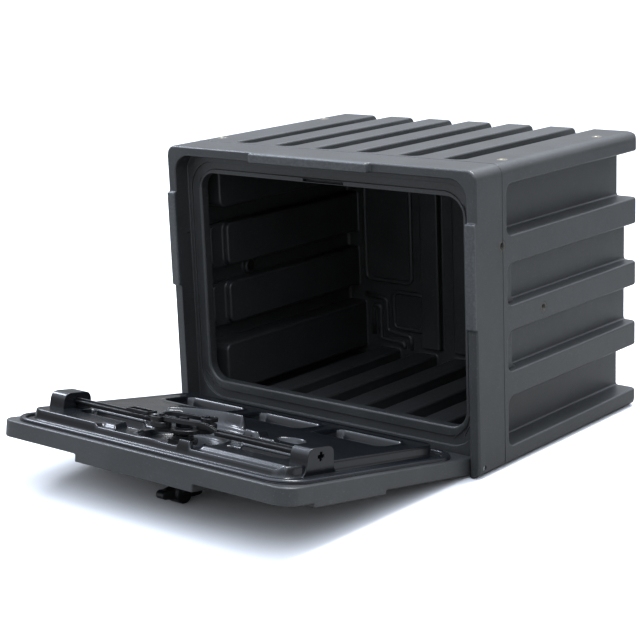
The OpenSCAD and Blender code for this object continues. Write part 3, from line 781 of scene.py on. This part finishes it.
top_lo, top_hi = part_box("case_top_inserts")
side_lo, side_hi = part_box("case_side_inserts_right")
INSERT_R = (top_hi.x - TOP_INSERT_X * MM) / MM
top_template = insert_template("top_template", (top_hi.z - top_lo.z) / MM, INSERT_R)
side_template = insert_template("side_template", (side_hi.x - side_lo.x) / MM, INSERT_R)
top_at = [(sx * TOP_INSERT_X * MM, y * MM, top_hi.z) for sx in (-1, 1) for y in TOP_INSERT_Y]
placed("top_inserts", top_template, top_at, (0, 0, 0), "case", BRASS, "brass", "case_top_inserts")
# The side inserts take the darker brass, whose tone is painted shade
for side, name in ((-1, "left"), (1, "right")):
    side_at = [(side * side_hi.x, y * MM, z * MM) for y, z in SIDE_INSERTS]
    placed("side_inserts_" + name, side_template, side_at, (0, side * math.pi / 2, 0),
           "case", DARK_BRASS, "brass", "case_side_inserts_" + name)

# Liner screws: low round heads with a cross recess
screw_profile = [(1.75, -12.0), (1.75, -1.8), (2.85, -1.7), (2.85, -0.7),
                 (2.5, -0.2), (1.8, 0.0), (1.1, 0.0), (0.5, -0.7)]
screw_template = lathe("screw_template", screw_profile, 32,
                       lambda r, z, t: 0.45 * math.cos(8 * math.pi * t) if r in (1.1, 0.5) else 0)
SCREW_U, SCREW_V = (-180, -60, 60, 180), (38, 394.3)
screw_at = [DOOR @ Vector((u, v, FLANGE_TOP + 0.02)) for u in SCREW_U for v in SCREW_V]
placed("flange_screws", screw_template, screw_at, (-TILT, 0, 0), "door", STEEL, "steel", "liner_screws")
for t in (top_template, side_template, screw_template):
    bpy.data.objects.remove(t)


# ---- Moulded details of the case ----

# Wall coordinates: x across, height, and millimetres out of the back wall
WALL_Y = 0.220
BACK = Matrix(((MM, 0, 0, 0), (0, 0, -MM, WALL_Y), (0, MM, 0, 0), (0, 0, 0, 1)))
half_round = [(-5.0, -1.0), (-4.6, 0.6), (-3.6, 2.2), (-2.0, 3.3), (0, 3.7),
              (2.0, 3.3), (3.6, 2.2), (4.6, 0.6), (5.0, -1.0)]


def bead_path(corners, r=9, steps=6):
    """Corner points with each inner corner rounded."""
    pts = [Vector((*corners[0], 0))]
    for a, b, c in zip(corners, corners[1:], corners[2:]):
        a, b, c = Vector((*a, 0)), Vector((*b, 0)), Vector((*c, 0))
        p, q = b + (a - b).normalized() * r, b + (c - b).normalized() * r
        for i in range(steps + 1):
            t = i / steps
            pts.append((1 - t) ** 2 * p + 2 * t * (1 - t) * b + t * t * q)
    pts.append(Vector((*corners[-1], 0)))
    return pts


beads = [sweep(rounded_loop(-203, 241, 51, 89, 12, 0, 6), half_round, closed=True),
         sweep(rounded_loop(-160, 100, 33, 33, 10, 0, 6), half_round, closed=True),
         sweep(bead_path([(-256, 122), (-209, 118), (-209, 58), (-156, 54), (-156, 30)]), half_round),
         sweep(bead_path([(-240, 50), (-240, 103), (-224, 103), (-224, 43), (-172, 40), (-172, 30)], 6),
               half_round)]
back_beads = from_lists("back_wall_beads", *merged(*beads), BACK)
link(back_beads, "case", SHELL, "shell")

# The line left by the two halves of the mould
SEAM_Y = -0.159
# Outline of the case at the seam: half width, height and corner radius
SEAM_HALF, SEAM_TOP, SEAM_R = 300.1, 450.1, 16
SEAM_LOW, SEAM_MID = 8, 200


def seam_corner(side, angles):
    """Points round one upper corner of the case."""
    turns = [math.radians(a) for a in angles]
    return [(side * (SEAM_HALF - SEAM_R) + SEAM_R * math.cos(t), SEAM_TOP - SEAM_R + SEAM_R * math.sin(t), 0)
            for t in turns]


seam = [(SEAM_HALF, SEAM_LOW, 0), (SEAM_HALF, SEAM_MID, 0)]
seam += seam_corner(1, range(0, 91, 10)) + seam_corner(-1, range(90, 181, 10))
seam += [(-SEAM_HALF, SEAM_MID, 0), (-SEAM_HALF, SEAM_LOW, 0)]
ridge = [(-0.35, -0.7), (0.25, -0.5), (0.35, 0.0), (0.25, 0.5), (-0.35, 0.7)]
SEAM = Matrix(((MM, 0, 0, 0), (0, 0, MM, SEAM_Y), (0, MM, 0, 0), (0, 0, 0, 1)))
seam_line = from_lists("mould_seam", *sweep(seam, ridge), SEAM)
link(seam_line, "case", SHELL, "shell")


# ---- Camera, floor and light ----

CAMERA_AT = (1.6252, -2.1205, 0.8130)
YAW, PITCH, ROLL = (math.radians(a) for a in (40.45, -13.8, -2.23))
ahead = Vector((-math.sin(YAW) * math.cos(PITCH), math.cos(YAW) * math.cos(PITCH), math.sin(PITCH)))
right = Vector((math.cos(YAW), math.sin(YAW), 0))
up = right.cross(ahead)
rolled_right = right * math.cos(ROLL) + up * math.sin(ROLL)
rolled_up = -right * math.sin(ROLL) + up * math.cos(ROLL)
cam_data = bpy.data.cameras.new("camera")
cam_data.sensor_width = 36
cam_data.lens = 94.89375
cam = bpy.data.objects.new("camera", cam_data)
rot = Matrix((rolled_right, rolled_up, -ahead)).transposed()
cam.matrix_world = Matrix.Translation(CAMERA_AT) @ rot.to_4x4()
bpy.context.scene.collection.objects.link(cam)
bpy.context.scene.camera = cam
bpy.context.scene.view_settings.view_transform = "Standard"

FLOOR_HALF = 30
corners = [(sx * FLOOR_HALF, sy * FLOOR_HALF, 0) for sx, sy in ((-1, -1), (1, -1), (1, 1), (-1, 1))]
floor = from_lists("floor", corners, [(0, 1, 2, 3)])
bpy.context.scene.collection.objects.link(floor)
fmat, ftree, fpri = material("studio_floor_white_matt")
seen = add(ftree, "ShaderNodeLightPath").outputs["Is Camera Ray"]
ftree.links.new(mix(ftree, seen, srgb("#8f8f8d"), srgb("#efefef")), fpri.inputs["Base Color"])
fpri.inputs["Roughness"].default_value = 0.9
fpri.inputs["Specular IOR Level"].default_value = 0.1
floor.data.materials.append(fmat)

world = bpy.data.worlds.new("studio")
bpy.context.scene.world = world
world.use_nodes = True
wt = world.node_tree
wt.nodes.clear()
wout = add(wt, "ShaderNodeOutputWorld")
sky = add(wt, "ShaderNodeTexCoord").outputs["Generated"]
height = add(wt, "ShaderNodeSeparateXYZ", {0: sky}).outputs[2]
level = remap(wt, height, 0.05, 0.8, 0.0, 1.0)
back = add(wt, "ShaderNodeBackground", {"Color": mix(wt, level, srgb("#a8a7a4"), srgb("#e4eeff")),
                                        "Strength": remap(wt, height, 0.1, 0.85, 0.66, 2.9)})
wt.links.new(back.outputs[0], wout.inputs[0])


def area_light(name, place, aim, size, power, colour):
    """A soft box at a place, turned to a point."""
    data = bpy.data.lights.new(name, "AREA")
    data.shape = "RECTANGLE"
    data.size, data.size_y = size
    data.energy = power
    data.color = srgb(colour)[:3]
    obj = bpy.data.objects.new(name, data)
    obj.location = place
    obj.rotation_euler = (Vector(aim) - Vector(place)).to_track_quat("-Z", "Y").to_euler()
    bpy.context.scene.collection.objects.link(obj)


area_light("top_light", (0.4, 0.7, 2.8), (0, -0.2, 0.2), (1.0, 1.0), 85, "#ffffff")
area_light("left_light", (-2.4, -0.3, 2.2), (0, -0.4, 0.1), (0.8, 0.8), 42, "#e8f0ff")
area_light("front_fill", (-0.6, -3.4, 2.4), (0, -0.2, 0.2), (2.2, 2.2), 8, "#f4f6ff")
